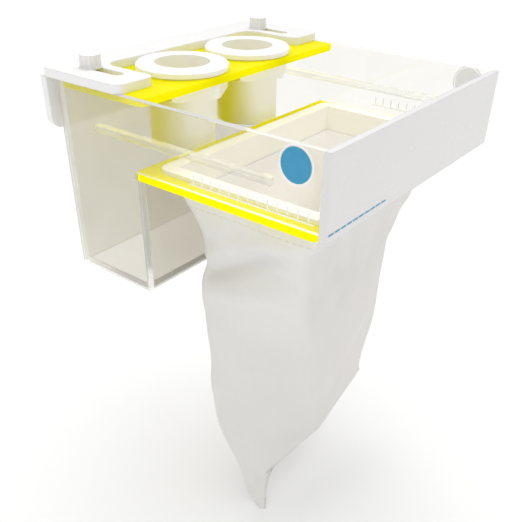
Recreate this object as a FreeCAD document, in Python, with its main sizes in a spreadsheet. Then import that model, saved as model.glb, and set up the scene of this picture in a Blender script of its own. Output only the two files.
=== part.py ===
# Hang-on drain box with a drop-in filter sock, for the rim of an aquarium sump.
# Frame: +X from the hook towards the end panel, +Y from front to back, +Z up.
# Origin: middle of the hook's underside, where it sits on the tank rim.
import FreeCAD, Part
import os
import re
import Sketcher

SIZES = [
    # sheets and walls
    ("box_width", 190.0),           # over the front and back walls, along Y
    ("box_length", 185.5),          # from the chamber's outer end wall to the end panel, along X
    ("wall_thickness", 4.0),        # clear sheet
    ("panel_thickness", 4.0),       # white end panel
    ("tray_height", 44.6),          # wall tops to the underside of the tray floor
    ("floor_thickness", 4.0),       # yellow tray floor
    ("floor_corner", 5.0),          # corner radius of the tray floor
    ("chamber_length", 62.2),       # deep chamber, outside, along X
    ("chamber_depth", 116.5),       # wall tops to the underside of the deep chamber
    ("top_plate_length", 66.8),     # yellow pipe plate, along X
    ("top_plate_thickness", 4.0),
    ("top_plate_corner", 4.0),
    # ledges inside the tray
    ("ledge_start", 26.0),          # from the chamber's outer end wall
    ("ledge_length", 125.0),
    ("ledge_drop", 21.0),           # wall tops to the ledge tops
    ("ledge_height", 4.0),
    ("ledge_reach", 5.0),           # out from the wall
    # hook
    ("rim_gap", 9.0),               # space for the tank wall at rest
    ("hook_thickness", 4.9),
    ("hook_reach", 51.5),           # arm ends, from the chamber's outer end wall
    ("spine_reach", 9.0),           # inner edge of the spine, from the same face
    ("arm_width", 28.5),
    ("hook_corner", 6.0),
    ("arm_fillet", 9.0),
    ("leg_drop", 30.3),             # below the hook's underside
    ("leg_thickness", 4.6),
    ("leg_corner", 6.0),
    ("slot_travel", 22.0),          # how far the hook can be drawn out
    ("slot_clearance", 0.3),        # round the screw, each side
    # thumbscrews
    ("screw_inset_x", 10.5),        # from the chamber's outer end wall
    ("screw_inset_y", 17.7),        # from the front and back faces
    ("screw_radius", 3.0),
    ("screw_head_radius", 6.0),
    ("screw_head_height", 6.3),
    ("screw_tip", 4.0),             # thread below the pipe plate
    ("screw_clearance", 0.05),      # running clearance in the tapped hole
    ("washer_radius", 6.6),
    ("washer_thickness", 1.0),
    ("flute_radius", 0.9),
    ("flute_count", 12),
    # pipe fittings
    ("pipe_pitch", 62.0),           # between the two pipes, along Y
    ("pipe_inset", 37.8),           # from the chamber's outer end wall
    ("socket_radius", 16.75),       # takes a pipe 33.4 mm across
    ("socket_depth", 24.0),
    ("bore_radius", 14.0),          # below the socket's stop
    ("thread_radius", 20.2),
    ("fitting_length", 42.0),       # below the wall tops
    ("flange_radius", 28.0),
    ("flange_thickness", 3.8),
    ("flange_chamfer", 1.2),
    ("gasket_thickness", 0.8),
    ("gasket_radius", 26.4),
    ("hole_clearance", 0.4),        # pipe plate round the thread
    ("nut_flats", 50.0),
    ("nut_height", 8.5),
    ("nut_chamfer", 1.5),
    ("thread_clearance", 0.1),
    # filter sock
    ("lift_clearance", 0.4),        # lip to pipe plate as the sock is drawn out
    ("lip_end_clearance", 1.0),     # lip to end panel
    ("lip_side_clearance", 2.0),    # lip to ledges
    ("lip_width", 8.5),
    ("lip_thickness", 2.4),
    ("lip_corner", 7.0),
    ("spigot_wall", 2.0),
    ("spigot_height", 14.0),
    ("spigot_clearance", 1.0),      # spigot to the floor's opening
    ("felt_thickness", 2.4),
    ("felt_clearance", 0.5),        # felt inside the spigot's outline
    ("bag_shoulder", 66.0),         # spigot to where the taper ends
    ("bag_waist_drop", 150.0),      # spigot to the lower end of the straight part
    ("bag_seam_drop", 205.0),       # spigot to the bottom seam
    ("bag_ear_drop", 36.0),         # bottom seam to the tip of the front corner
    ("bag_waist_thickness", 49.0),  # along X
    ("bag_waist_width", 144.0),     # along Y
    ("bag_waist_shift", 18.0),      # towards the chamber from the mouth's middle
    ("bag_seam_thickness", 9.0),
    ("bag_seam_width", 112.0),
    ("bag_seam_shift", 4.0),        # away from the chamber
    ("bag_seam_forward", 5.0),      # towards the front
    ("bag_ear_width", 9.0),
]

doc = FreeCAD.newDocument("drain_box")
sheet = doc.addObject("Spreadsheet::Sheet", "Sizes")
for row, (alias, number) in enumerate(SIZES, start=1):
    sheet.set("A%d" % row, alias)
    sheet.set("B%d" % row, str(number))
    sheet.setAlias("B%d" % row, alias)
doc.recompute()

# places that several pieces share, as text for expressions
BOX_X = "rim_gap / 2"
HALF_WIDTH = "box_width / 2"
PIPE_X = "rim_gap / 2 + pipe_inset"
SCREW_X = "rim_gap / 2 + screw_inset_x"
SCREW_Y = "(box_width / 2 - screw_inset_y)"
INNER_WIDTH = "box_width - 2 * wall_thickness"
FLOOR_X = "chamber_length - wall_thickness"
LIP_X = "top_plate_length + lift_clearance"
LIP_LENGTH = "(box_length - panel_thickness - lip_end_clearance - top_plate_length - lift_clearance)"
LIP_WIDTH = "(box_width - 2 * (wall_thickness + ledge_reach + lip_side_clearance))"
SPIGOT_INSET = "(lip_width - spigot_wall)"
OPENING_INSET = "(lip_width - spigot_wall - spigot_clearance)"
FLOOR_TOP = "(tray_height - floor_thickness)"

parts = []


def bind(item, prop, text):
    """Tie a property to the sheet; every alias holds an underscore."""
    item.setExpression(prop, re.sub(r"\b([a-z]+(?:_[a-z]+)+)\b", r"Sizes.\1", text))


def size(alias):
    return float(sheet.get(alias))


def place(item, x, y, z):
    for axis, text in zip("xyz", (x, y, z)):
        bind(item, "Placement.Base." + axis, text)


def keep(item, label):
    item.Label = label
    parts.append(item)
    return item


def plate(label, x, y, z, along_x, along_y, along_z):
    """A plain rectangular sheet."""
    box = doc.addObject("Part::Box", label + "_sheet")
    bind(box, "Length", along_x)
    bind(box, "Width", along_y)
    bind(box, "Height", along_z)
    place(box, x, y, z)
    return box


def new_body(label, x, y, z):
    body = doc.addObject("PartDesign::Body", label + "_body")
    place(body, x, y, z)
    return keep(body, label)


def sketch_on(body, name, role):
    plane = [item for item in body.Origin.OriginFeatures if item.Role == role][0]
    sketch = body.newObject("Sketcher::SketchObject", body.Label + "_" + name)
    sketch.AttachmentSupport = [(plane, "")]
    sketch.MapMode = "FlatFace"
    return sketch


def offset_constraint(sketch, kind, geo, pos, text):
    """Ties a point to the sketch origin along one axis, or onto that axis where text is None."""
    if text is None:
        axis_line = -2 if kind == "DistanceX" else -1
        sketch.addConstraint(Sketcher.Constraint("PointOnObject", geo, pos, axis_line))
        return
    number = sketch.addConstraint(Sketcher.Constraint(kind, -1, 1, geo, pos, 1.0 + geo))
    sketch.renameConstraint(number, "%s_%d_%d" % (kind.lower(), geo, pos))
    bind(sketch, "Constraints.%s_%d_%d" % (kind.lower(), geo, pos), text)


def draw_polygon(sketch, corners):
    """A closed outline of upright and level lines; each corner is (start, x text, y text)."""
    first = sketch.GeometryCount
    count = len(corners)
    points = [FreeCAD.Vector(start[0], start[1], 0) for start, _, _ in corners]
    for index in range(count):
        line = Part.LineSegment(points[index], points[(index + 1) % count])
        sketch.addGeometry(line, False)
    for index in range(count):
        here, after = first + index, first + (index + 1) % count
        sketch.addConstraint(Sketcher.Constraint("Coincident", here, 2, after, 1))
    for index, (_, x_text, y_text) in enumerate(corners):
        offset_constraint(sketch, "DistanceX", first + index, 1, x_text)
        offset_constraint(sketch, "DistanceY", first + index, 1, y_text)


def draw_rectangle(sketch, x0, y0, x1, y1):
    draw_polygon(sketch, [
        ((1, 1), x0, y0), ((20, 1), x1, y0), ((20, 20), x1, y1), ((1, 20), x0, y1)])


def draw_circle(sketch, x, y, radius):
    circle = Part.Circle(FreeCAD.Vector(2, 2, 0), FreeCAD.Vector(0, 0, 1), 2)
    geo = sketch.addGeometry(circle, False)
    offset_constraint(sketch, "DistanceX", geo, 3, x)
    offset_constraint(sketch, "DistanceY", geo, 3, y)
    number = sketch.addConstraint(Sketcher.Constraint("Radius", geo, 2))
    sketch.renameConstraint(number, "radius_%d" % geo)
    bind(sketch, "Constraints.radius_%d" % geo, radius)


def pad(body, sketch, height, down=False):
    feature = body.newObject("PartDesign::Pad", sketch.Name + "_pad")
    feature.Profile = sketch
    bind(feature, "Length", height)
    feature.Reversed = down
    sketch.Visibility = False
    doc.recompute()
    return feature


def pocket(body, sketch):
    """Cuts right through, both ways, and makes sure that something went."""
    before = body.Shape.Volume
    feature = body.newObject("PartDesign::Pocket", sketch.Name + "_cut")
    feature.Profile = sketch
    feature.Type = 1
    feature.Midplane = True
    sketch.Visibility = False
    doc.recompute()
    if not body.Shape.Volume < before:
        raise ValueError(feature.Name + " cuts nothing")
    return feature


def revolve(body, sketch):
    feature = body.newObject("PartDesign::Revolution", sketch.Name + "_turned")
    feature.Profile = sketch
    feature.ReferenceAxis = (sketch, ["V_Axis"])
    feature.Angle = 360.0
    sketch.Visibility = False
    doc.recompute()
    return feature


def close_to(number, target):
    return abs(number - target) < 1e-6


def upright_edges(body, wanted):
    """Names of the edges along Z whose x and y, in the body's own frame, pass the test."""
    names = []
    for number, edge in enumerate(body.Tip.Shape.Edges, start=1):
        span = edge.BoundBox
        straight_up = close_to(span.XLength, 0) and close_to(span.YLength, 0)
        if straight_up and wanted(span.XMin, span.YMin):
            names.append("Edge%d" % number)
    return names


def round_edges(body, edges, radius):
    base = body.Tip
    if not edges:
        raise ValueError(base.Name + " has no such edges")
    feature = body.newObject("PartDesign::Fillet", base.Name + "_rounded")
    feature.Base = (base, edges)
    bind(feature, "Radius", radius)
    doc.recompute()
    return feature


# ---- clear walls: one deep chamber and one shallow tray share the front and back sheets ----

def make_side_wall(label, y):
    """An L of clear sheet, notched where the tray floor runs in to the chamber."""
    body = new_body(label, BOX_X, y, "0 * box_width")
    sketch = sketch_on(body, "outline", "XZ_Plane")
    draw_polygon(sketch, [
        ((0, 0), None, None),
        ((0, -60), None, "-chamber_depth"),
        ((30, -60), "chamber_length", "-chamber_depth"),
        ((30, -30), "chamber_length", "-tray_height"),
        ((26, -30), FLOOR_X, "-tray_height"),
        ((26, -26), FLOOR_X, "floor_thickness - tray_height"),
        ((90, -26), "box_length - panel_thickness", "floor_thickness - tray_height"),
        ((90, 0), "box_length - panel_thickness", None)])
    pad(body, sketch, "wall_thickness", down=True)
    return body


make_side_wall("front_wall", "-box_width / 2")
make_side_wall("back_wall", "box_width / 2 - wall_thickness")

INSIDE_Y = "wall_thickness - box_width / 2"
keep(plate("chamber_end_wall", BOX_X, INSIDE_Y, "-chamber_depth",
           "wall_thickness", INNER_WIDTH, "chamber_depth"), "chamber_end_wall")
keep(plate("chamber_inner_wall", BOX_X + " + chamber_length - wall_thickness", INSIDE_Y,
           "-chamber_depth", "wall_thickness", INNER_WIDTH, "chamber_depth - tray_height"),
     "chamber_inner_wall")
keep(plate("chamber_bottom", BOX_X + " + wall_thickness", INSIDE_Y, "-chamber_depth",
           "chamber_length - 2 * wall_thickness", INNER_WIDTH, "wall_thickness"), "chamber_bottom")

# ---- white end panel, with eased upright corners ----

panel = new_body("end_panel", BOX_X + " + box_length - panel_thickness", "-" + HALF_WIDTH, "-tray_height")
panel_outline = sketch_on(panel, "outline", "XY_Plane")
draw_rectangle(panel_outline, None, None, "panel_thickness", "box_width")
pad(panel, panel_outline, "tray_height")
outer_corners = upright_edges(panel, lambda x, y: close_to(x, size("panel_thickness")))
round_edges(panel, outer_corners, "panel_thickness / 4")

# ---- yellow tray floor with the opening for the sock ----

floor = new_body("tray_floor", BOX_X + " + " + FLOOR_X, "-" + HALF_WIDTH, "-tray_height")
floor_outline = sketch_on(floor, "outline", "XY_Plane")
draw_rectangle(floor_outline, None, None,
               "box_length - panel_thickness - chamber_length + wall_thickness", "box_width")
pad(floor, floor_outline, "floor_thickness")
round_edges(floor, upright_edges(floor, lambda x, y: True), "floor_corner")
opening = sketch_on(floor, "opening", "XY_Plane")
LIP_FROM_FLOOR = "(top_plate_length + lift_clearance - chamber_length + wall_thickness)"
LIP_EDGE = "(box_width - " + LIP_WIDTH + ") / 2"
draw_rectangle(opening,
               LIP_FROM_FLOOR + " + " + OPENING_INSET, LIP_EDGE + " + " + OPENING_INSET,
               LIP_FROM_FLOOR + " + " + LIP_LENGTH + " - " + OPENING_INSET,
               LIP_EDGE + " + " + LIP_WIDTH + " - " + OPENING_INSET)
pocket(floor, opening)

# ---- yellow pipe plate over the deep chamber ----

pipe_plate = new_body("pipe_plate", BOX_X, INSIDE_Y, "-top_plate_thickness")
plate_outline = sketch_on(pipe_plate, "outline", "XY_Plane")
draw_rectangle(plate_outline, "wall_thickness", None, "top_plate_length", INNER_WIDTH)
pad(pipe_plate, plate_outline, "top_plate_thickness")
inner_corners = upright_edges(pipe_plate, lambda x, y: close_to(x, size("top_plate_length")))
round_edges(pipe_plate, inner_corners, "top_plate_corner")
pipe_holes = sketch_on(pipe_plate, "pipe_holes", "XY_Plane")
PLATE_MIDDLE = "(box_width / 2 - wall_thickness)"
for sign in ("-", "+"):
    draw_circle(pipe_holes, "pipe_inset", PLATE_MIDDLE + sign + "pipe_pitch / 2",
                "thread_radius + hole_clearance")
    draw_circle(pipe_holes, "screw_inset_x", PLATE_MIDDLE + sign + SCREW_Y,
                "screw_radius + screw_clearance")
pocket(pipe_plate, pipe_holes)

# ---- clear ledges along the front and back walls ----

for label, y in (("front_ledge", "wall_thickness - box_width / 2"),
                 ("back_ledge", "box_width / 2 - wall_thickness - ledge_reach")):
    ledge = new_body(label, BOX_X + " + ledge_start", y, "-ledge_drop - ledge_height")
    ledge_outline = sketch_on(ledge, "outline", "XY_Plane")
    draw_rectangle(ledge_outline, None, None, "ledge_length", "ledge_reach")
    pad(ledge, ledge_outline, "ledge_height")
    free_y = size("ledge_reach") if label == "front_ledge" else 0.0
    free_ends = upright_edges(ledge, lambda x, y: close_to(y, free_y))
    round_edges(ledge, free_ends, "ledge_reach / 2")

# ---- hook: a C-shaped plate on the rim and a leg behind it ----

HOOK_START = "(rim_gap / 2 + leg_thickness)"
hook = new_body("hook_plate", "-" + HOOK_START, "-" + HALF_WIDTH, "0 * box_width")
hook_outline = sketch_on(hook, "outline", "XY_Plane")
ARM_END = HOOK_START + " + rim_gap / 2 + hook_reach"
SPINE_EDGE = HOOK_START + " + rim_gap / 2 + spine_reach"
draw_polygon(hook_outline, [
    ((0, 0), None, None),
    ((60, 0), ARM_END, None),
    ((60, 20), ARM_END, "arm_width"),
    ((20, 20), SPINE_EDGE, "arm_width"),
    ((20, 80), SPINE_EDGE, "box_width - arm_width"),
    ((60, 80), ARM_END, "box_width - arm_width"),
    ((60, 100), ARM_END, "box_width"),
    ((0, 100), None, "box_width")])
pad(hook, hook_outline, "hook_thickness")
spine_x = size("rim_gap") + size("leg_thickness") + size("spine_reach")
round_edges(hook, upright_edges(hook, lambda x, y: close_to(x, spine_x)), "arm_fillet")
arm_end_x = size("rim_gap") + size("leg_thickness") + size("hook_reach")
outer = upright_edges(hook, lambda x, y: close_to(x, 0.0) or close_to(x, arm_end_x))
round_edges(hook, outer, "hook_corner")
slots = sketch_on(hook, "slots", "XY_Plane")
SLOT_HALF = "(screw_radius + slot_clearance)"
SLOT_START = HOOK_START + " + rim_gap / 2 + screw_inset_x"
for middle in ("screw_inset_y", "(box_width - screw_inset_y)"):
    draw_rectangle(slots, SLOT_START, middle + " - " + SLOT_HALF,
                   SLOT_START + " + slot_travel", middle + " + " + SLOT_HALF)
pocket(hook, slots)
slot_ends = sketch_on(hook, "slot_ends", "XY_Plane")
for middle in ("screw_inset_y", "(box_width - screw_inset_y)"):
    draw_circle(slot_ends, SLOT_START, middle, SLOT_HALF)
    draw_circle(slot_ends, SLOT_START + " + slot_travel", middle, SLOT_HALF)
pocket(hook, slot_ends)

leg = new_body("hook_leg", "-" + HOOK_START, "-" + HALF_WIDTH, "0 * box_width")
leg_outline = sketch_on(leg, "outline", "YZ_Plane")
draw_rectangle(leg_outline, None, "-leg_drop", "box_width", None)
pad(leg, leg_outline, "leg_thickness")
bottom_edges = []
for number, edge in enumerate(leg.Tip.Shape.Edges, start=1):
    span = edge.BoundBox
    across = close_to(span.XLength, size("leg_thickness"))
    if across and close_to(span.ZMax, -size("leg_drop")):
        bottom_edges.append("Edge%d" % number)
round_edges(leg, bottom_edges, "leg_corner")

# ---- thumbscrews and their washers ----

HEAD_BASE = "hook_thickness + washer_thickness"
for side, sign in (("front", "-"), ("back", "")):
    screw_y = sign + SCREW_Y
    screw = new_body(side + "_thumbscrew", SCREW_X, screw_y, HEAD_BASE)
    profile = sketch_on(screw, "profile", "XZ_Plane")
    SHANK = "-(hook_thickness + washer_thickness + top_plate_thickness + screw_tip)"
    draw_polygon(profile, [
        ((0, -20), None, SHANK),
        ((3, -20), "screw_radius", SHANK),
        ((3, 0), "screw_radius", None),
        ((6, 0), "screw_head_radius", None),
        ((6, 6), "screw_head_radius", "screw_head_height"),
        ((0, 6), None, "screw_head_height")])
    revolve(screw, profile)
    flute = sketch_on(screw, "flute", "XY_Plane")
    draw_circle(flute, "screw_head_radius + flute_radius / 3", None, "flute_radius")
    cut = screw.newObject("PartDesign::Pocket", flute.Name + "_cut")
    cut.Profile = flute
    cut.Type = 0
    cut.Reversed = True
    bind(cut, "Length", "screw_head_height + 1")
    before = screw.Shape.Volume
    doc.recompute()
    pattern = screw.newObject("PartDesign::PolarPattern", flute.Name + "_ring")
    pattern.Originals = [cut]
    pattern.Axis = (profile, ["V_Axis"])
    pattern.Angle = 360.0
    bind(pattern, "Occurrences", "flute_count")
    screw.Tip = pattern
    flute.Visibility = False
    doc.recompute()
    if not screw.Shape.Volume < before:
        raise ValueError(screw.Label + " has no flutes")

    disc = new_body(side + "_washer", SCREW_X, screw_y, "hook_thickness")
    ring = sketch_on(disc, "ring", "XY_Plane")
    draw_circle(ring, None, None, "washer_radius")
    draw_circle(ring, None, None, "screw_radius + screw_clearance")
    pad(disc, ring, "washer_thickness")

# ---- pipe fittings: body, gasket and nut, front and back ----

for side, sign in (("front", "-"), ("back", "")):
    pipe_y = sign + "pipe_pitch / 2"
    fitting = new_body(side + "_pipe_fitting", PIPE_X, pipe_y, "0 * box_width")
    profile = sketch_on(fitting, "profile", "XZ_Plane")
    FLANGE_TOP = "gasket_thickness + flange_thickness"
    draw_polygon(profile, [
        ((14, -42), "bore_radius", "-fitting_length"),
        ((20, -42), "thread_radius", "-fitting_length"),
        ((20, 1), "thread_radius", "gasket_thickness"),
        ((28, 1), "flange_radius", "gasket_thickness"),
        ((28, 4), "flange_radius", FLANGE_TOP + " - flange_chamfer"),
        ((27, 5), "flange_radius - flange_chamfer", FLANGE_TOP),
        ((17, 5), "socket_radius", FLANGE_TOP),
        ((17, -20), "socket_radius", FLANGE_TOP + " - socket_depth"),
        ((14, -20), "bore_radius", FLANGE_TOP + " - socket_depth")])
    revolve(fitting, profile)

    gasket = new_body(side + "_gasket", PIPE_X, pipe_y, "0 * box_width")
    ring = sketch_on(gasket, "ring", "XY_Plane")
    draw_circle(ring, None, None, "gasket_radius")
    draw_circle(ring, None, None, "thread_radius + thread_clearance")
    pad(gasket, ring, "gasket_thickness")

    nut = doc.addObject("Part::Prism", side + "_nut_hexagon")
    nut.Polygon = 6
    bind(nut, "Circumradius", "nut_flats / 2 / cos(30)")
    bind(nut, "Height", "nut_height")
    cone = doc.addObject("Part::Cone", side + "_nut_chamfer")
    bind(cone, "Radius1", "nut_flats / 2 / cos(30) - nut_chamfer")
    bind(cone, "Radius2", "nut_flats / 2 / cos(30) - nut_chamfer + nut_height")
    bind(cone, "Height", "nut_height")
    thread = doc.addObject("Part::Cylinder", side + "_nut_thread")
    bind(thread, "Radius", "thread_radius + thread_clearance")
    bind(thread, "Height", "nut_height")
    for item in (nut, cone, thread):
        place(item, PIPE_X, pipe_y, "-top_plate_thickness - nut_height")
    chamfered = doc.addObject("Part::Common", side + "_nut_blank")
    chamfered.Base, chamfered.Tool = nut, cone
    bored = doc.addObject("Part::Cut", side + "_nut_cut")
    bored.Base, bored.Tool = chamfered, thread
    keep(bored, side + "_fitting_nut")

# ---- sock frame: a lip on the tray floor and a spigot through it ----

frame = new_body("sock_frame", BOX_X + " + " + LIP_X, "-" + LIP_WIDTH + " / 2", "-" + FLOOR_TOP)
lip_outline = sketch_on(frame, "lip", "XY_Plane")
draw_rectangle(lip_outline, None, None, LIP_LENGTH, LIP_WIDTH)
pad(frame, lip_outline, "lip_thickness")
round_edges(frame, upright_edges(frame, lambda x, y: True), "lip_corner")
spigot = sketch_on(frame, "spigot", "XY_Plane")
draw_rectangle(spigot, SPIGOT_INSET, SPIGOT_INSET,
               LIP_LENGTH + " - " + SPIGOT_INSET, LIP_WIDTH + " - " + SPIGOT_INSET)
pad(frame, spigot, "spigot_height", down=True)
mouth = sketch_on(frame, "mouth", "XY_Plane")
draw_rectangle(mouth, "lip_width", "lip_width", LIP_LENGTH + " - lip_width", LIP_WIDTH + " - lip_width")
pocket(frame, mouth)

# ---- felt bag: an open-topped shell that hangs from the spigot ----


def level(z, middle_x, middle_y, along_x, along_y):
    """A level rectangle as a wire."""
    half_x, half_y = along_x / 2, along_y / 2
    corners = [(-half_x, -half_y), (half_x, -half_y), (half_x, half_y), (-half_x, half_y)]
    points = [FreeCAD.Vector(middle_x + x, middle_y + y, z) for x, y in corners]
    return Part.makePolygon(points + points[:1])


def bag_levels(thinner):
    """The bag's outline from the mouth down; thinner is taken off each side."""
    lip_start = size("top_plate_length") + size("lift_clearance")
    lip_end = size("box_length") - size("panel_thickness") - size("lip_end_clearance")
    inset = size("lip_width") - size("spigot_wall") + size("felt_clearance")
    clear = size("wall_thickness") + size("ledge_reach") + size("lip_side_clearance")
    middle = (lip_start + lip_end) / 2
    waist_x = middle - size("bag_waist_shift")
    seam_x = middle + size("bag_seam_shift")
    mouth_x = lip_end - lip_start - 2 * inset
    mouth_y = size("box_width") - 2 * clear - 2 * inset
    waist = (size("bag_waist_thickness") - 2 * thinner, size("bag_waist_width") - 2 * thinner)
    closing = 3 * thinner
    return [
        level(0, middle, 0, mouth_x - 2 * thinner, mouth_y - 2 * thinner),
        level(-size("bag_shoulder"), waist_x, 0, *waist),
        level(-size("bag_waist_drop"), waist_x, 0, *waist),
        level(closing - size("bag_seam_drop"), seam_x, -size("bag_seam_forward"),
              size("bag_seam_thickness") - 2 * thinner, size("bag_seam_width") - 2 * thinner)]


outside = Part.makeLoft(bag_levels(0.0), True, True)
inside = Part.makeLoft(bag_levels(size("felt_thickness")), True, True)
seam = bag_levels(0.0)[-1].BoundBox
ear_width = size("bag_ear_width")
ear = Part.makeLoft([
    level(seam.ZMin, seam.Center.x, seam.YMin + ear_width, seam.XLength, 2 * ear_width),
    level(seam.ZMin - size("bag_ear_drop"), seam.Center.x, seam.YMin + ear_width / 2,
          seam.XLength / 2, ear_width / 2)], True, True)
bag = doc.addObject("Part::Feature", "felt_bag_shell")
bag.Shape = outside.fuse(ear).cut(inside)
place(bag, BOX_X, "0 * box_width", "-" + FLOOR_TOP + " - spigot_height")
keep(bag, "felt_bag")

# ---- check and write ----

doc.recompute()
for item in doc.Objects:
    if "Invalid" in item.State or "Error" in item.State:
        raise ValueError(item.Name + " failed: " + str(item.State))
os.makedirs("parts", exist_ok=True)
for item in parts:
    shape = item.Shape
    if shape.isNull() or not shape.isValid() or not shape.Solids:
        raise ValueError(item.Label + " has no sound shape")
for item in parts:
    item.Shape.exportStep("parts/%s.step" % item.Label)
    span = item.Shape.BoundBox
    print("%-20s solids %d volume %9.1f  x %7.1f %7.1f  y %7.1f %7.1f  z %7.1f %7.1f" % (
        item.Label, len(item.Shape.Solids), item.Shape.Volume,
        span.XMin, span.XMax, span.YMin, span.YMax, span.ZMin, span.ZMax))
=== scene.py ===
# A hang-on drain box with two pipe sockets and a felt filter sock, dressed for a studio picture
import math
import bmesh
import bpy
from mathutils import Matrix, Vector, noise


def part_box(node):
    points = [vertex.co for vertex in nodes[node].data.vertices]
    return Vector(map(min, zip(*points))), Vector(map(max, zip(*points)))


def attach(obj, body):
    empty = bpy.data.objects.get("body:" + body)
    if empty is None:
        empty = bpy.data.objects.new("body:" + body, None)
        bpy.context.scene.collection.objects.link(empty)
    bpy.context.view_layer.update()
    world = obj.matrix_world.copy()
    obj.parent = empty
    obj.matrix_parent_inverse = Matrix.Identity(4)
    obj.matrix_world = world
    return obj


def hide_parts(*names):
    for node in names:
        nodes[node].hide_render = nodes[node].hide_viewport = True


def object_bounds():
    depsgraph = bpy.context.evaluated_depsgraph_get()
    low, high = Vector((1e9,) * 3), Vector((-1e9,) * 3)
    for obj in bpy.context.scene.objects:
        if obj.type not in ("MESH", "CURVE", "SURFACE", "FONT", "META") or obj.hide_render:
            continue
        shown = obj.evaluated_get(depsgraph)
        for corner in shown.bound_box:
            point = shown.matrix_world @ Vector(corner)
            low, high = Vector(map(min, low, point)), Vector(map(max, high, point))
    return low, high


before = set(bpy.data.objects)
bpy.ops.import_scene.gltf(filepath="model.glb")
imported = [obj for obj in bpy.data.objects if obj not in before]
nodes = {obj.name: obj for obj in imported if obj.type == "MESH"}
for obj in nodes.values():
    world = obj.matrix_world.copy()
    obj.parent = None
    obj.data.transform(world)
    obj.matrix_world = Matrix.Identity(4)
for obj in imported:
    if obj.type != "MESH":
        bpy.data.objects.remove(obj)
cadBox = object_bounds()
mm = 0.001
print("frame loaded:", len(nodes), "pieces")


# the studio camera
cameraPlan = {"eye": (0.3336, -0.3322, 0.0989), "azimuth": 37.05, "elevation": 34.71, "roll": 1.11,
              "lens": 45.49, "shiftY": 0.131}


def addObject(name, data):
    item = bpy.data.objects.new(name, data)
    bpy.context.scene.collection.objects.link(item)
    return item


def makeCamera(plan):
    data = bpy.data.cameras.new("studioCamera")
    data.lens = plan["lens"]
    data.shift_y = plan["shiftY"]
    data.clip_start = 0.01
    camera = addObject("studioCamera", data)
    turn = (Matrix.Rotation(math.radians(plan["azimuth"]), 4, "Z")
            @ Matrix.Rotation(math.radians(90 - plan["elevation"]), 4, "X")
            @ Matrix.Rotation(math.radians(plan["roll"]), 4, "Z"))
    camera.matrix_world = Matrix.Translation(plan["eye"]) @ turn
    bpy.context.scene.camera = camera


makeCamera(cameraPlan)
bpy.context.scene.view_settings.view_transform = "Standard"


# short ways to build node trees
def addNode(tree, kind, **settings):
    node = tree.nodes.new(kind)
    for key, value in settings.items():
        setattr(node, key, value)
    return node


def feed(tree, value, socket):
    if isinstance(value, bpy.types.NodeSocket):
        tree.links.new(value, socket)
    elif value is not None:
        socket.default_value = value


def calc(tree, operation, first, second=None):
    node = addNode(tree, "ShaderNodeMath", operation=operation)
    feed(tree, first, node.inputs[0])
    feed(tree, second, node.inputs[1])
    return node.outputs[0]


def blendColour(tree, factor, first, second):
    node = addNode(tree, "ShaderNodeMix", data_type="RGBA")
    feed(tree, factor, node.inputs[0])
    feed(tree, first, node.inputs[6])
    feed(tree, second, node.inputs[7])
    return node.outputs[2]


def partBlend(tree, mask, share, first, second):   # a full mask brings in this share of the second colour
    return blendColour(tree, calc(tree, "MULTIPLY", mask, share), first, second)


def raised(tree, base, mask, share):   # the base value, plus this share of the mask
    total = calc(tree, "MULTIPLY_ADD", mask, share)
    total.node.inputs[2].default_value = base
    return total


def mixShaders(tree, factor, first, second):
    node = addNode(tree, "ShaderNodeMixShader")
    feed(tree, factor, node.inputs[0])
    feed(tree, first.outputs[0], node.inputs[1])
    feed(tree, second.outputs[0], node.inputs[2])
    return node.outputs[0]


def remap(tree, value, low, high, newLow=0.0, newHigh=1.0):
    node = addNode(tree, "ShaderNodeMapRange")
    for socket, number in zip(node.inputs[:5], (value, low, high, newLow, newHigh)):
        feed(tree, number, socket)
    return node.outputs[0]


def cloudy(tree, place, scale, detail=3.0, roughness=0.5, distortion=0.0):
    node = addNode(tree, "ShaderNodeTexNoise")
    feed(tree, place, node.inputs["Vector"])
    feed(tree, scale, node.inputs["Scale"])
    node.inputs["Detail"].default_value = detail
    node.inputs["Roughness"].default_value = roughness
    node.inputs["Distortion"].default_value = distortion
    return node.outputs[0]


def newGroup(name, inputs, outputs):
    tree = bpy.data.node_groups.new(name, "ShaderNodeTree")
    for label, kind, start in inputs:
        socket = tree.interface.new_socket(name=label, in_out="INPUT", socket_type=kind)
        socket.default_value = start
    for label, kind in outputs:
        tree.interface.new_socket(name=label, in_out="OUTPUT", socket_type=kind)
    return tree, addNode(tree, "NodeGroupInput"), addNode(tree, "NodeGroupOutput")


def useGroup(tree, group, **values):
    node = addNode(tree, "ShaderNodeGroup", node_tree=group)
    for label, value in values.items():
        feed(tree, value, node.inputs[label])
    return node


def objectPlace(tree):
    return addNode(tree, "ShaderNodeTexCoord").outputs["Object"]


def surfaceNormal(tree):
    return addNode(tree, "ShaderNodeNewGeometry").outputs["Normal"]


def splitXYZ(tree, vector):
    node = addNode(tree, "ShaderNodeSeparateXYZ")
    feed(tree, vector, node.inputs[0])
    return node.outputs


# effects that several finishes share
def makeEasedEdge():   # rounds the light over sharp corners and says where they are
    tree, given, out = newGroup(
        "easedEdge", [("Radius", "NodeSocketFloat", 0.0006)],
        [("Normal", "NodeSocketVector"), ("Edge", "NodeSocketFloat")])
    bevel = addNode(tree, "ShaderNodeBevel", samples=6)
    feed(tree, given.outputs["Radius"], bevel.inputs["Radius"])
    likeness = addNode(tree, "ShaderNodeVectorMath", operation="DOT_PRODUCT")
    feed(tree, bevel.outputs[0], likeness.inputs[0])
    feed(tree, surfaceNormal(tree), likeness.inputs[1])
    feed(tree, bevel.outputs[0], out.inputs["Normal"])
    feed(tree, remap(tree, likeness.outputs["Value"], 0.99, 0.8), out.inputs["Edge"])
    return tree


handlingPlan = {"smudge": (0.42, 0.72), "dust": (0.66, 0.8), "dustScale": 40.0, "rippleScale": 6.0}


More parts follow.
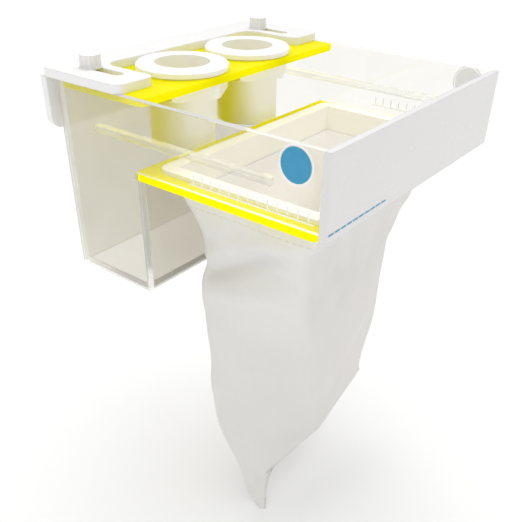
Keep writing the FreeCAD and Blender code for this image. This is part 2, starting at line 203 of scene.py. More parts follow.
def makeHandling(plan):   # soft smudges, fine dust and the faint unevenness of moulded or cast sheet
    tree, given, out = newGroup(
        "handling", [("Scale", "NodeSocketFloat", 30.0)],
        [("Smudge", "NodeSocketFloat"), ("Dust", "NodeSocketFloat"), ("Ripple", "NodeSocketFloat")])
    place, scale = objectPlace(tree), given.outputs["Scale"]
    broad = cloudy(tree, place, scale, 4.0, 0.55, 0.6)
    speck = cloudy(tree, place, calc(tree, "MULTIPLY", scale, plan["dustScale"]), 2.0)
    ripple = cloudy(tree, place, calc(tree, "MULTIPLY", scale, plan["rippleScale"]), 2.0)
    feed(tree, remap(tree, broad, *plan["smudge"]), out.inputs["Smudge"])
    feed(tree, remap(tree, speck, *plan["dust"]), out.inputs["Dust"])
    feed(tree, ripple, out.inputs["Ripple"])
    return tree


sawPlan = {"scale": 1400.0, "stretch": (1.0, 1.0, 0.08)}


def makeSawnEdge(plan):   # fine lines that the saw leaves along a sheet's edge
    tree, given, out = newGroup(
        "sawnEdge", [("Scale", "NodeSocketFloat", plan["scale"])], [("Lines", "NodeSocketFloat")])
    stretch = addNode(tree, "ShaderNodeVectorMath", operation="MULTIPLY")
    feed(tree, objectPlace(tree), stretch.inputs[0])
    stretch.inputs[1].default_value = plan["stretch"]
    feed(tree, cloudy(tree, stretch.outputs[0], given.outputs["Scale"], 2.0), out.inputs["Lines"])
    return tree


fibrePlan = {
    "lies": ((1.0, 0.16, 0.3), (0.2, 1.0, 0.5), (0.5, 0.3, 0.14)),   # three ways that the hair lies
    "warp": (0.004, 0.004, 0.004), "warpScale": 0.6, "hairScale": 3.0, "hairWidth": 0.06, "hairHeight": 0.45,
    "clumpScale": 0.35, "patchScale": 0.035, "patch": (0.3, 0.7), "nap": (0.35, 0.7)}


def makeNeedleFelt(plan):   # matted fibres: fine crossing hairs over soft clumps
    tree, given, out = newGroup(
        "needleFelt", [("Scale", "NodeSocketFloat", 700.0)],
        [("Height", "NodeSocketFloat"), ("Tone", "NodeSocketFloat"), ("Nap", "NodeSocketFloat")])
    place, scale = objectPlace(tree), given.outputs["Scale"]
    warp = addNode(tree, "ShaderNodeTexNoise")
    feed(tree, place, warp.inputs["Vector"])
    feed(tree, calc(tree, "MULTIPLY", scale, plan["warpScale"]), warp.inputs["Scale"])
    shift = addNode(tree, "ShaderNodeVectorMath", operation="MULTIPLY_ADD")
    feed(tree, warp.outputs["Color"], shift.inputs[0])
    shift.inputs[1].default_value = plan["warp"]
    feed(tree, place, shift.inputs[2])
    hairs = []
    for spread in plan["lies"]:
        lie = addNode(tree, "ShaderNodeVectorMath", operation="MULTIPLY")
        feed(tree, shift.outputs[0], lie.inputs[0])
        lie.inputs[1].default_value = spread
        hair = cloudy(tree, lie.outputs[0], calc(tree, "MULTIPLY", scale, plan["hairScale"]), 2.0, 0.6)
        hairs.append(calc(tree, "ABSOLUTE", calc(tree, "SUBTRACT", hair, 0.5)))
    mat = calc(tree, "MINIMUM", calc(tree, "MINIMUM", hairs[0], hairs[1]), hairs[2])
    line = remap(tree, mat, 0.0, plan["hairWidth"], 1.0, 0.0)
    clump = cloudy(tree, place, calc(tree, "MULTIPLY", scale, plan["clumpScale"]), 4.0, 0.6)
    broad = cloudy(tree, place, calc(tree, "MULTIPLY", scale, plan["patchScale"]), 3.0, 0.55)
    height = calc(tree, "ADD", calc(tree, "MULTIPLY", line, plan["hairHeight"]), clump)
    feed(tree, height, out.inputs["Height"])
    feed(tree, remap(tree, broad, *plan["patch"]), out.inputs["Tone"])
    feed(tree, remap(tree, clump, *plan["nap"]), out.inputs["Nap"])
    return tree


paintedPlateGlowPlan = {"towardsTray": (0.80, 0.60, 0.0), "dark": 0.45, "full": -0.75}


def makePaintedPlateGlow(plan):   # painted light: the yellow plate's light beneath it, strongest on the side away from the tray
    tree, given, out = newGroup(
        "paintedPlateGlow", [("Top", "NodeSocketFloat", 0.0)], [("Glow", "NodeSocketFloat")])
    facing = addNode(tree, "ShaderNodeVectorMath", operation="DOT_PRODUCT")
    feed(tree, surfaceNormal(tree), facing.inputs[0])
    facing.inputs[1].default_value = plan["towardsTray"]
    side = remap(tree, facing.outputs["Value"], plan["dark"], plan["full"])
    side.node.interpolation_type = "SMOOTHSTEP"
    below = calc(tree, "LESS_THAN", splitXYZ(tree, objectPlace(tree))["Z"], given.outputs["Top"])
    feed(tree, calc(tree, "MULTIPLY", side, below), out.inputs["Glow"])
    return tree


easedEdge = makeEasedEdge()
paintedPlateGlow = makePaintedPlateGlow(paintedPlateGlowPlan)
handling = makeHandling(handlingPlan)
sawnEdge = makeSawnEdge(sawPlan)
needleFelt = makeNeedleFelt(fibrePlan)


# finishes
def newFinish(name):
    material = bpy.data.materials.new(name)
    material.use_nodes = True
    tree = material.node_tree
    tree.nodes.clear()
    shader = addNode(tree, "ShaderNodeBsdfPrincipled")
    out = addNode(tree, "ShaderNodeOutputMaterial")
    feed(tree, shader.outputs[0], out.inputs["Surface"])
    return material, tree, shader, out


def bumped(tree, height, strength, distance, normal=None):
    bump = addNode(tree, "ShaderNodeBump")
    bump.inputs["Strength"].default_value = strength
    bump.inputs["Distance"].default_value = distance
    feed(tree, height, bump.inputs["Height"])
    feed(tree, normal, bump.inputs["Normal"])
    return bump.outputs[0]


acrylicIor = 1.49
clearPlans = {
    "clearFace": {
        "colour": (0.915, 0.905, 0.875, 1), "polish": 0.015, "clear": 1.0, "lines": 0.0,
        "shine": 0.22, "solid": 1.0, "lift": 0.0},
    "clearChamber": {
        "colour": (0.83, 0.81, 0.755, 1), "polish": 0.05, "clear": 0.93, "lines": 0.0,
        "shine": 0.4, "solid": 1.0, "lift": 0.0},
    "clearEnd": {
        "colour": (0.93, 0.915, 0.86, 1), "polish": 0.08, "clear": 0.45, "lines": 0.0,
        "shine": 0.4, "solid": 1.0, "lift": 0.08},
    "clearEdge": {
        "colour": (0.965, 0.955, 0.925, 1), "polish": 0.35, "clear": 0.30, "lines": 0.3,
        "shine": 0.3, "solid": 0.72, "lift": 0.15},
    "clearLedge": {
        "colour": (0.97, 0.965, 0.88, 1), "polish": 0.05, "clear": 0.85, "lines": 0.0,
        "shine": 0.3, "solid": 0.42, "lift": 1.0,
        "glow": (0.50, 0.46, 0.0, 1), "glowFrom": 0.035, "glowTo": 0.105},
}
passingShade = (0.965, 0.96, 0.945, 1)
clearMarks = {"scale": 22.0, "faint": 0.97, "smudge": 0.02, "sawDepth": 0.0001}


def clearAcrylic(name, plan):
    material, tree, shader, out = newFinish(name)
    smudge = useGroup(tree, handling, Scale=clearMarks["scale"]).outputs["Smudge"]
    faint = tuple(part * clearMarks["faint"] for part in plan["colour"][:3]) + (1,)
    feed(tree, blendColour(tree, smudge, plan["colour"], faint), shader.inputs["Base Color"])
    feed(tree, raised(tree, plan["polish"], smudge, clearMarks["smudge"]), shader.inputs["Roughness"])
    if plan["lines"]:
        cut = useGroup(tree, sawnEdge).outputs["Lines"]
        feed(tree, bumped(tree, cut, plan["lines"], clearMarks["sawDepth"]), shader.inputs["Normal"])
    shader.inputs["Transmission Weight"].default_value = plan["clear"]
    shader.inputs["IOR"].default_value = acrylicIor
    shader.inputs["Specular IOR Level"].default_value = plan["shine"]
    shader.inputs["Alpha"].default_value = plan["solid"]
    # painted glow: a steady emission standing in for light that runs inside the sheet and leaves at its cuts
    shader.inputs["Emission Color"].default_value = plan["colour"]
    shader.inputs["Emission Strength"].default_value = plan["lift"]
    if "glow" in plan:   # painted yellow light on the upper side, less and less away from the yellow plate
        near = remap(tree, splitXYZ(tree, objectPlace(tree))["X"], plan["glowTo"], plan["glowFrom"])
        upper = remap(tree, splitXYZ(tree, surfaceNormal(tree))["Z"], 0.3, 0.8)
        feed(tree, partBlend(tree, near, upper, (0, 0, 0, 1), plan["glow"]), shader.inputs["Emission Color"])
    passing = addNode(tree, "ShaderNodeBsdfTransparent")   # lamps reach what stands behind the sheet
    passing.inputs[0].default_value = passingShade
    shadowRay = addNode(tree, "ShaderNodeLightPath").outputs["Is Shadow Ray"]
    feed(tree, mixShaders(tree, shadowRay, shader, passing), out.inputs["Surface"])
    return material


glowSheet = {
    "colour": (0.90, 0.86, 0.004, 1), "deep": (0.80, 0.74, 0.0, 1), "deepShare": 0.12,
    "edge": (0.98, 0.96, 0.05, 1), "edgeHighlightShare": 0.3, "ease": 0.0006,
    "faceGlow": (0.42, 0.395, 0.0, 1), "sideGlow": (0.95, 0.89, 0.0, 1), "glowStrength": 0.5,
    "through": 0.55, "polish": 0.10, "smudge": 0.08, "shine": 0.03, "scale": 18.0}


def yellowAcrylic(name, plan):
    material, tree, shader, out = newFinish(name)
    smudge = useGroup(tree, handling, Scale=plan["scale"]).outputs["Smudge"]
    eased = useGroup(tree, easedEdge, Radius=plan["ease"])
    body = partBlend(tree, smudge, plan["deepShare"], plan["colour"], plan["deep"])
    # painted highlight: lighter yellow on its edges
    colour = partBlend(tree, eased.outputs["Edge"], plan["edgeHighlightShare"], body, plan["edge"])
    feed(tree, colour, shader.inputs["Base Color"])
    feed(tree, raised(tree, plan["polish"], smudge, plan["smudge"]), shader.inputs["Roughness"])
    shader.inputs["Specular IOR Level"].default_value = plan["shine"]
    # painted glow: the whole plate gives off a yellow light of its own
    level = calc(tree, "ABSOLUTE", splitXYZ(tree, surfaceNormal(tree))["Z"])
    side = remap(tree, level, 0.8, 0.4)   # painted glow, strongest on its edges
    glow = blendColour(tree, side, plan["faceGlow"], plan["sideGlow"])
    feed(tree, glow, shader.inputs["Emission Color"])
    shader.inputs["Emission Strength"].default_value = plan["glowStrength"]
    feed(tree, eased.outputs["Normal"], shader.inputs["Normal"])
    through = addNode(tree, "ShaderNodeBsdfTranslucent")
    through.inputs[0].default_value = plan["colour"]
    feed(tree, mixShaders(tree, plan["through"], shader, through), out.inputs["Surface"])
    return material


plasticMarks = {"dust": 0.2, "rippleDepth": 0.0002}


def plainPlastic(name, plan):   # solid plastic: its tone drifts a little and its corners have a painted highlight
    material, tree, shader, out = newFinish(name)
    marks = useGroup(tree, handling, Scale=plan["scale"])
    eased = useGroup(tree, easedEdge, Radius=plan["ease"])
    tone = partBlend(tree, marks.outputs["Smudge"], plan["drift"], plan["colour"], plan["shadeColour"])
    # painted highlight: lighter colour on the corners
    tone = partBlend(tree, eased.outputs["Edge"], plan["edgeHighlightLift"], tone, plan["edgeHighlightColour"])
    # painted light: below the yellow plate, colour and glow turn yellow on the side away from the tray
    if "glowUnder" in plan:
        lit = useGroup(tree, paintedPlateGlow, Top=plan["glowUnder"]).outputs["Glow"]
        tone = blendColour(tree, lit, tone, plan["glowColour"])
        glow = blendColour(tree, lit, plan["paintedSelfGlow"], plan["glowLight"])
        feed(tree, glow, shader.inputs["Emission Color"])
        shader.inputs["Emission Strength"].default_value = 1.0
    feed(tree, tone, shader.inputs["Base Color"])
    rough = raised(tree, plan["rough"], marks.outputs["Dust"], plasticMarks["dust"])
    feed(tree, rough, shader.inputs["Roughness"])
    normal = bumped(tree, marks.outputs["Ripple"], plan["ripple"], plasticMarks["rippleDepth"],
                    eased.outputs["Normal"])
    feed(tree, normal, shader.inputs["Normal"])
    shader.inputs["IOR"].default_value = acrylicIor
    if "through" in plan:   # painted glow standing in for the light that thin moulded walls pass on
        shader.inputs["Emission Color"].default_value = plan["through"]
        shader.inputs["Emission Strength"].default_value = 1.0
    return material


plasticPlans = {
    "whiteAcrylic": {"colour": (0.90, 0.895, 0.89, 1), "shadeColour": (0.85, 0.845, 0.835, 1),
                     "edgeHighlightColour": (0.97, 0.97, 0.965, 1), "edgeHighlightLift": 0.6, "drift": 0.35, "rough": 0.16,
                     "ripple": 0.06, "ease": 0.0007, "scale": 14.0},
    # painted shade: the end panel's white acrylic made darker
    "whitePanelPaintedShade": {"colour": (0.765, 0.757, 0.752, 1), "shadeColour": (0.745, 0.735, 0.73, 1),
                   "edgeHighlightColour": (0.93, 0.93, 0.925, 1), "edgeHighlightLift": 0.7, "drift": 0.35, "rough": 0.2,
                   "ripple": 0.06, "ease": 0.0008, "scale": 14.0},
    "whiteNylon": {"colour": (0.86, 0.86, 0.84, 1), "shadeColour": (0.78, 0.775, 0.75, 1),
                   "edgeHighlightColour": (0.93, 0.93, 0.92, 1), "edgeHighlightLift": 0.5, "drift": 0.5, "rough": 0.42,
                   "ripple": 0.3, "ease": 0.0003, "scale": 90.0},
    "whitePipePlastic": {"colour": (0.94, 0.935, 0.915, 1), "shadeColour": (0.90, 0.89, 0.86, 1),
                         "edgeHighlightColour": (0.96, 0.96, 0.95, 1), "edgeHighlightLift": 0.4, "drift": 0.4, "rough": 0.3,
                         "ripple": 0.15, "ease": 0.0005, "scale": 40.0,
                         # painted yellow light below the plate, and a faint painted glow everywhere else
                         "glowUnder": -0.0035, "glowColour": (0.60, 0.545, 0.0, 1),
                         "glowLight": (0.17, 0.155, 0.0, 1), "paintedSelfGlow": (0.06, 0.058, 0.045, 1)},
    "paleRubber": {"colour": (0.80, 0.80, 0.78, 1), "shadeColour": (0.72, 0.72, 0.70, 1),
                   "edgeHighlightColour": (0.85, 0.85, 0.84, 1), "edgeHighlightLift": 0.3, "drift": 0.4, "rough": 0.55,
                   "ripple": 0.3, "ease": 0.0002, "scale": 60.0},
    "creamPlastic": {"colour": (0.92, 0.91, 0.83, 1), "shadeColour": (0.89, 0.875, 0.78, 1),
                     "edgeHighlightColour": (0.94, 0.93, 0.88, 1), "edgeHighlightLift": 0.5, "drift": 0.5, "rough": 0.36,
                     "ripple": 0.25, "ease": 0.0006, "scale": 30.0, "through": (0.105, 0.10, 0.08, 1)},
}
solidFinish = {name: plainPlastic(name, plan) for name, plan in plasticPlans.items()}

feltPlan = {
    "pale": (0.90, 0.885, 0.86, 1), "dull": (0.85, 0.835, 0.805, 1), "dullShare": 0.45, "napShare": 0.25,
    "scale": 700.0, "rough": 0.95, "sheen": 0.25, "sheenRough": 0.5, "bump": 0.55, "bumpDepth": 0.0006,
    "through": (0.19, 0.182, 0.155, 1)}


def feltFinish(name, plan, inside=False):
    material, tree, shader, out = newFinish(name)
    felt = useGroup(tree, needleFelt, Scale=plan["scale"])
    tone = partBlend(tree, felt.outputs["Tone"], plan["dullShare"], plan["pale"], plan["dull"])
    tone = partBlend(tree, felt.outputs["Nap"], plan["napShare"], tone, plan["pale"])
    feed(tree, tone, shader.inputs["Base Color"])
    shader.inputs["Roughness"].default_value = plan["rough"]
    shader.inputs["Sheen Weight"].default_value = plan["sheen"]
    shader.inputs["Sheen Roughness"].default_value = plan["sheenRough"]
    bump = bumped(tree, felt.outputs["Height"], plan["bump"], plan["bumpDepth"])
    feed(tree, bump, shader.inputs["Normal"])
    if inside:   # painted glow standing in for daylight that comes through the felt
        shader.inputs["Emission Color"].default_value = plan["through"]
        shader.inputs["Emission Strength"].default_value = 1.0
    return material


inkPlan = {"scale": 160.0, "thinShare": 0.2, "paler": 1.25, "palest": 0.02, "rough": 0.4}


def inkFinish(name, colour, lift=0.0):
    material, tree, shader, out = newFinish(name)
    smudge = useGroup(tree, handling, Scale=inkPlan["scale"]).outputs["Smudge"]
    worn = tuple(min(1.0, part * inkPlan["paler"] + inkPlan["palest"]) for part in colour[:3]) + (1,)
    feed(tree, partBlend(tree, smudge, inkPlan["thinShare"], colour, worn), shader.inputs["Base Color"])
    shader.inputs["Roughness"].default_value = inkPlan["rough"]
    # a lift above zero gives the ink a painted glow
    shader.inputs["Emission Color"].default_value = colour
    shader.inputs["Emission Strength"].default_value = lift
    return material


clearFinish = {name: clearAcrylic(name, plan) for name, plan in clearPlans.items()}
yellowSheet = yellowAcrylic("yellowAcrylic", glowSheet)
whiteFelt = feltFinish("whiteFelt", feltPlan)
insideFeltPaintedGlow = feltFinish("insideFeltPaintedGlow", feltPlan, inside=True)
seamThread = feltFinish("seamThread", feltPlan)
whiteInk = inkFinish("whiteInk", (0.93, 0.93, 0.93, 1))
blueInk = inkFinish("blueInk", (0.03, 0.30, 0.51, 1))
# the grey marks get a painted glow
greyInk = inkFinish("greyInk", (0.78, 0.79, 0.83, 1), lift=0.42)
print("finishes made")

finishOf = {
    "tray_floor": yellowSheet, "pipe_plate": yellowSheet,
    "end_panel": solidFinish["whitePanelPaintedShade"], "hook_plate": solidFinish["whiteAcrylic"],
    "hook_leg": solidFinish["whiteAcrylic"],
    "front_thumbscrew": solidFinish["whiteNylon"], "back_thumbscrew": solidFinish["whiteNylon"],
    "front_washer": solidFinish["whiteNylon"], "back_washer": solidFinish["whiteNylon"],
    "front_pipe_fitting": solidFinish["whitePipePlastic"], "back_pipe_fitting": solidFinish["whitePipePlastic"],
    "front_fitting_nut": solidFinish["whitePipePlastic"], "back_fitting_nut": solidFinish["whitePipePlastic"],
    "front_gasket": solidFinish["paleRubber"], "back_gasket": solidFinish["paleRubber"],
    "sock_frame": solidFinish["creamPlastic"],
}
for nodeName, finish in finishOf.items():
    mesh = nodes[nodeName].data
    mesh.materials.clear()
    mesh.materials.append(finish)


# small mesh helpers
def newPiece(name, verts, faces, material, smooth=True):
    mesh = bpy.data.meshes.new(name)
    mesh.from_pydata([tuple(v) for v in verts], [], faces)
    mesh.update()
    work = bmesh.new()
    work.from_mesh(mesh)
    bmesh.ops.recalc_face_normals(work, faces=work.faces)
    work.to_mesh(mesh)
    work.free()
    for face in mesh.polygons:
        face.use_smooth = smooth
    mesh.materials.append(material)
    return addObject(name, mesh)


def evaluatedMesh(piece):
    bpy.context.view_layer.update()
    return bpy.data.meshes.new_from_object(piece.evaluated_get(bpy.context.evaluated_depsgraph_get()))


def settle(piece):   # turns what the modifiers make into a plain mesh and takes them off
    made = evaluatedMesh(piece)
    piece.modifiers.clear()
    piece.data = made


# clear sheets: polished corners, sawn edges paler than the faces, a hair apart where they are glued
sheetPlan = {"glue": 0.04, "ease": 0.35, "easeSteps": 2}
# each clear sheet: the axis that its faces look along, the finish of its faces, the finish of its cuts
clearSheets = {
    "front_wall": ("y", "clearFace", "clearEdge"),
    "back_wall": ("y", "clearFace", "clearEdge"),
    "chamber_end_wall": ("x", "clearEnd", "clearEdge"),
    "chamber_inner_wall": ("x", "clearChamber", "clearEdge"),
    "chamber_bottom": ("z", "clearChamber", "clearEdge"),
    "front_ledge": ("y", "clearLedge", "clearLedge"),
    "back_ledge": ("y", "clearLedge", "clearLedge"),
}


def makeSheet(node, axis, faceFinish, cutFinish, plan):
    mesh = bpy.data.meshes.new(node + "_sheet")
    work = bmesh.new()
    work.from_mesh(nodes[node].data)
    bmesh.ops.remove_doubles(work, verts=work.verts, dist=0.00001)
    bmesh.ops.dissolve_limit(work, angle_limit=0.01, verts=work.verts, edges=work.edges)
    bmesh.ops.recalc_face_normals(work, faces=work.faces)
    for vert in work.verts:   # every face goes in by the thickness of the glue
        sides = {tuple(round(part) for part in face.normal) for face in vert.link_faces}
        vert.co -= sum((Vector(side) for side in sides), Vector()) * plan["glue"] * mm
    work.to_mesh(mesh)
    work.free()
    sheet = addObject(node + "_sheet", mesh)
    ease = sheet.modifiers.new("ease", "BEVEL")
    ease.width = plan["ease"] * mm
    ease.segments = plan["easeSteps"]
    ease.limit_method = "ANGLE"
    settle(sheet)
    sheet.data.materials.clear()
    sheet.data.materials.append(clearFinish[faceFinish])
    sheet.data.materials.append(clearFinish[cutFinish])
    for polygon in sheet.data.polygons:
        polygon.material_index = 0 if abs(polygon.normal["xyz".index(axis)]) > 0.9 else 1
    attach(sheet, "box")
    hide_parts(node)


for node, (axis, faceFinish, cutFinish) in clearSheets.items():
    makeSheet(node, axis, faceFinish, cutFinish, sheetPlan)
print("clear sheets made")


# felt sock, each ring from the mouth down in millimetres: near left corner, near side, near ridge,
# far right edge, far left corner, left side; then how many times its corners are softened
sockPlan = {
    "sides": (18, 26, 40, 24, 34, 12), "rows": 120, "wall": 2.4, "taperRows": 40.0, "seamShare": 0.12,
    "rings": [
        ((79, -77, -54.6), (112, -77, -54.6), (178, -77, -54.6),
         (178, 77, -54.6), (79, 77, -54.6), (79, -38, -54.6), 3),
        ((82.5, -76, -62), (112, -75.5, -62), (172, -75.5, -62),
         (167, 76.5, -62), (79.5, 76.5, -62), (79, -38, -62), 5),
        ((86, -73, -72), (113, -72, -72), (164, -71, -72),
         (158, 76.5, -72), (81.5, 76, -72), (80, -38, -72), 7),
        ((86, -68, -84), (114, -66, -84), (160, -66, -84),
         (155, 76.5, -84), (83, 75, -84), (83, -38, -84), 8),
        ((86.5, -67.5, -96), (116, -66, -96), (157, -60, -96),
         (150, 76, -96), (85.5, 74, -96), (84.5, -38, -96), 9),
        ((82.5, -68.5, -112), (114, -68, -112), (153, -56, -112),
         (146, 76, -112), (85, 73, -112), (82, -38, -112), 9),
        ((82, -67.5, -128), (112, -66, -128), (151, -48, -128),
         (142.5, 75.5, -128), (85, 72, -128), (80, -38, -128), 9),
        ((84.5, -67, -165), (112, -60, -165), (149, -34, -165),
         (140.5, 75, -165), (91, 70, -165), (84, -38, -165), 9),
        ((88, -67, -205), (114, -58, -205), (147, -28, -205),
         (137, 74, -204), (99, 68, -205), (89, -38, -205), 8),
        ((95, -66, -238), (118, -60, -236), (142, -24, -232),
         (134.5, 73, -226), (112, 60, -228), (100, -42, -236), 6),
        ((111.5, -66, -264), (124, -62, -256), (139, -8, -250),
         (132, 72, -238), (124, 50, -246), (114, -48, -258), 4),
        ((121.5, -66, -286), (129.5, -60, -268), (137.5, 2, -259),
         (132.4, 71, -243), (131.5, 40, -256), (123, -53, -270), 3),
        ((137, -64.5, -302.5), (131, -54, -266.3), (137.5, 4, -262),
         (133.2, 71, -245), (132, 40, -256), (131, -54, -266.3), 1),
    ],
    # folds: two ends, half width and height, in millimetres
    "folds": [
        ((92, -69, -105), (150, -64, -73), 5.4, -4.2),
        ((92, -72, -93), (154, -70, -61), 7.5, 3.0),
        ((92, -68, -122), (140, -60, -104), 8.0, 1.4),
        ((156, 44, -74), (146, 62, -116), 4.5, -3.0),
        ((150, 24, -80), (148, 36, -130), 8.0, 1.8),
        ((168, -42, -64), (150, -8, -112), 8.0, -1.7),
        ((170, -2, -64), (150, 12, -100), 7.0, -1.4),
        ((156, -56, -92), (148, -28, -204), 7.0, 2.2),
        ((98, -67, -150), (124, -54, -215), 10.0, 1.8),
        ((106, -66, -226), (128, -64, -272), 4.0, 1.6),
        ((84, 20, -80), (86, -10, -130), 8.0, -2.6),
        ((84, 50, -90), (90, 30, -180), 9.0, -2.2),
        ((80, -20, -70), (84, -40, -150), 7.0, 2.0),
        ((110, 76, -70), (118, 74, -130), 8.0, -2.6),
        ((128, 76, -76), (130, 75, -150), 6.0, 1.8),
        ((136, 60, -180), (138, 20, -240), 9.0, -1.8),
        ((144, -10, -190), (137, 10, -246), 8.0, 1.5),
    ],
    # rows over which the folds fade in below the mouth and out above the seam
    "fadeIn": 14, "fadeOut": 8,
    "sag": 2.2, "sagSize": 34.0, "ripple": 0.385, "rippleTimes": 3.1, "litDownTo": -190.0,
}


def ringPoints(ring, sides):
    corners, softness = [Vector(c) for c in ring[:-1]], ring[-1]
    points = []
    for k, count in enumerate(sides):
        start, end = corners[k], corners[(k + 1) % len(corners)]
        points += [start.lerp(end, i / count) for i in range(count)]
    for _ in range(softness):
        n = len(points)
        points = [points[i - 1] * 0.25 + points[i] * 0.5 + points[(i + 1) % n] * 0.25 for i in range(n)]
    return points


def throughPoints(before, start, end, after, t):
    return 0.5 * (2 * start + (end - before) * t + (2 * before - 5 * start + 4 * end - after) * t * t
                  + (3 * start - before - 3 * end + after) * t * t * t)


def sockRows(plan):
    rings = [ringPoints(ring, plan["sides"]) for ring in plan["rings"]]
    count = len(rings[0])
    drops = [0.0]
    for upper, lower in zip(rings, rings[1:]):
        drops.append(drops[-1] + sum((a - b).length for a, b in zip(upper, lower)) / count)
    rows = []
    for r in range(plan["rows"] + 1):
        drop = drops[-1] * r / plan["rows"]
        k = max(i for i in range(len(rings) - 1) if drops[i] <= drop + 1e-9)
        t = min(1.0, (drop - drops[k]) / (drops[k + 1] - drops[k]))
        near = [rings[max(k - 1, 0)], rings[k], rings[k + 1], rings[min(k + 2, len(rings) - 1)]]
        rows.append([throughPoints(*[ring[i] for ring in near], t) for i in range(count)])
    return rows


def distanceTo(point, start, end):
    along = end - start
    t = max(0.0, min(1.0, (point - start).dot(along) / along.length_squared))
    return (point - (start + along * t)).length


def foldRows(rows, plan):   # pushes folds, creases and a soft sag into the rows, none at the mouth or the seam
    folds = [(Vector(a), Vector(b), width, height) for a, b, width, height in plan["folds"]]
    count, moved = len(rows[0]), []
    for r, row in enumerate(rows):
        up, down = rows[max(r - 1, 0)], rows[min(r + 1, len(rows) - 1)]
        free = min(1.0, r / plan["fadeIn"]) * min(1.0, (len(rows) - 1 - r) / plan["fadeOut"])
        fresh = []
        for i, point in enumerate(row):
            normal = (row[(i + 1) % count] - row[i - 1]).cross(up[i] - down[i])
            normal = normal.normalized() if normal.length > 1e-9 else Vector((0, 0, 0))
            push = sum(height * math.exp(-(distanceTo(point, a, b) / width) ** 2)
                       for a, b, width, height in folds)
            push += plan["sag"] * noise.noise(point / plan["sagSize"])
            push += plan["ripple"] * noise.noise(point / plan["sagSize"] * plan["rippleTimes"])
            fresh.append(point + normal * push * free)
        moved.append(fresh)
    return moved


def makeSock(plan):
    rows = foldRows(sockRows(plan), plan)
    count = len(rows[0])
    verts = [point * mm for row in rows for point in row]
    faces = []
    for r in range(len(rows) - 1):
        for i in range(count):
            j = (i + 1) % count
            faces.append((r * count + i, r * count + j, (r + 1) * count + j, (r + 1) * count + i))
    last = (len(rows) - 1) * count
    ends = [last + i for i in range(count)]
    for i in range(count // 2 - 1):   # the two panels meet across the bottom
        faces.append((ends[i], ends[i + 1], ends[(-i - 2) % count], ends[(-i - 1) % count]))
    sock = newPiece("felt_sock", verts, faces, whiteFelt)
    thin = sock.vertex_groups.new(name="wall")   # pressed thin where the two panels are welded together
    for r in range(len(rows)):
        share = max(plan["seamShare"], min(1.0, (len(rows) - 1 - r) / plan["taperRows"]))
        thin.add(list(range(r * count, (r + 1) * count)), share, "REPLACE")
    wall = sock.modifiers.new("wall", "SOLIDIFY")
    wall.thickness = plan["wall"] * mm
    wall.offset = -1.0
    wall.use_rim = True
    wall.vertex_group = "wall"
    sock.data.materials.append(insideFeltPaintedGlow)
    wall.material_offset = 1
    settle(sock)
    for polygon in sock.data.polygons:   # no painted glow low down, where the panels meet
        if polygon.center.z < plan["litDownTo"] * mm:
            polygon.material_index = 0
    return sock, rows


sock, sockSurface = makeSock(sockPlan)
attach(sock, "sock")
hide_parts("felt_bag")
print("felt sock made:", len(sock.data.vertices), "points")


# stitches and printed marks repeat along a path
def repeatAlong(name, item):   # one small item at every pitch along a curve, turned to follow it
    tree = bpy.data.node_groups.new(name, "GeometryNodeTree")
    socketOf = {}
    for label, kind in (("Path", "NodeSocketGeometry"), ("Pitch", "NodeSocketFloat"),
                        ("Size", "NodeSocketVector"), ("Finish", "NodeSocketMaterial")):
        socketOf[label] = tree.interface.new_socket(name=label, in_out="INPUT", socket_type=kind).identifier
    tree.interface.new_socket(name="Made", in_out="OUTPUT", socket_type="NodeSocketGeometry")
    given, out = addNode(tree, "NodeGroupInput"), addNode(tree, "NodeGroupOutput")
    spaced = addNode(tree, "GeometryNodeResampleCurve")
    spaced.mode = "LENGTH"
    feed(tree, given.outputs["Path"], spaced.inputs["Curve"])
    feed(tree, given.outputs["Pitch"], spaced.inputs["Length"])
    along = addNode(tree, "FunctionNodeAlignRotationToVector", axis="X")
    feed(tree, addNode(tree, "GeometryNodeInputTangent").outputs[0], along.inputs["Vector"])
    if item == "stitch":
        shape = addNode(tree, "GeometryNodeMeshUVSphere")
        shape.inputs["Segments"].default_value = 8
        shape.inputs["Rings"].default_value = 6
        shape.inputs["Radius"].default_value = 0.5
    else:
        shape = addNode(tree, "GeometryNodeMeshCube")
    placed = addNode(tree, "GeometryNodeInstanceOnPoints")
    feed(tree, spaced.outputs[0], placed.inputs["Points"])
    feed(tree, shape.outputs["Mesh"], placed.inputs["Instance"])
    feed(tree, along.outputs[0], placed.inputs["Rotation"])
    feed(tree, given.outputs["Size"], placed.inputs["Scale"])
    real = addNode(tree, "GeometryNodeRealizeInstances")
    feed(tree, placed.outputs[0], real.inputs[0])
    finished = addNode(tree, "GeometryNodeSetMaterial")
    feed(tree, real.outputs[0], finished.inputs["Geometry"])
    feed(tree, given.outputs["Finish"], finished.inputs["Material"])
    feed(tree, finished.outputs[0], out.inputs["Made"])
    return tree, socketOf


stitchTree, stitchSockets = repeatAlong("stitchesAlong", "stitch")
markTree, markSockets = repeatAlong("marksAlong", "mark")


def runAlong(name, points, closed, tree, sockets, pitch, size, finish):
    path = bpy.data.curves.new(name, "CURVE")
    path.dimensions = "3D"
    line = path.splines.new("POLY")
    line.points.add(len(points) - 1)
    for spot, point in zip(line.points, points):
        spot.co = (*point, 1.0)
    line.use_cyclic_u = closed
    carrier = addObject(name + "Path", path)
    repeat = carrier.modifiers.new("repeat", "NODES")
    repeat.node_group = tree
    for label, value in (("Pitch", pitch), ("Size", size), ("Finish", finish)):
        repeat[sockets[label]] = value
    mesh = evaluatedMesh(carrier)
    bpy.data.objects.remove(carrier)
    mesh.name = name
    return addObject(name, mesh)


stitchPlan = {"pitch": 4.6, "size": (3.2, 0.75, 0.75), "hemRow": 4, "seamRow": -4}


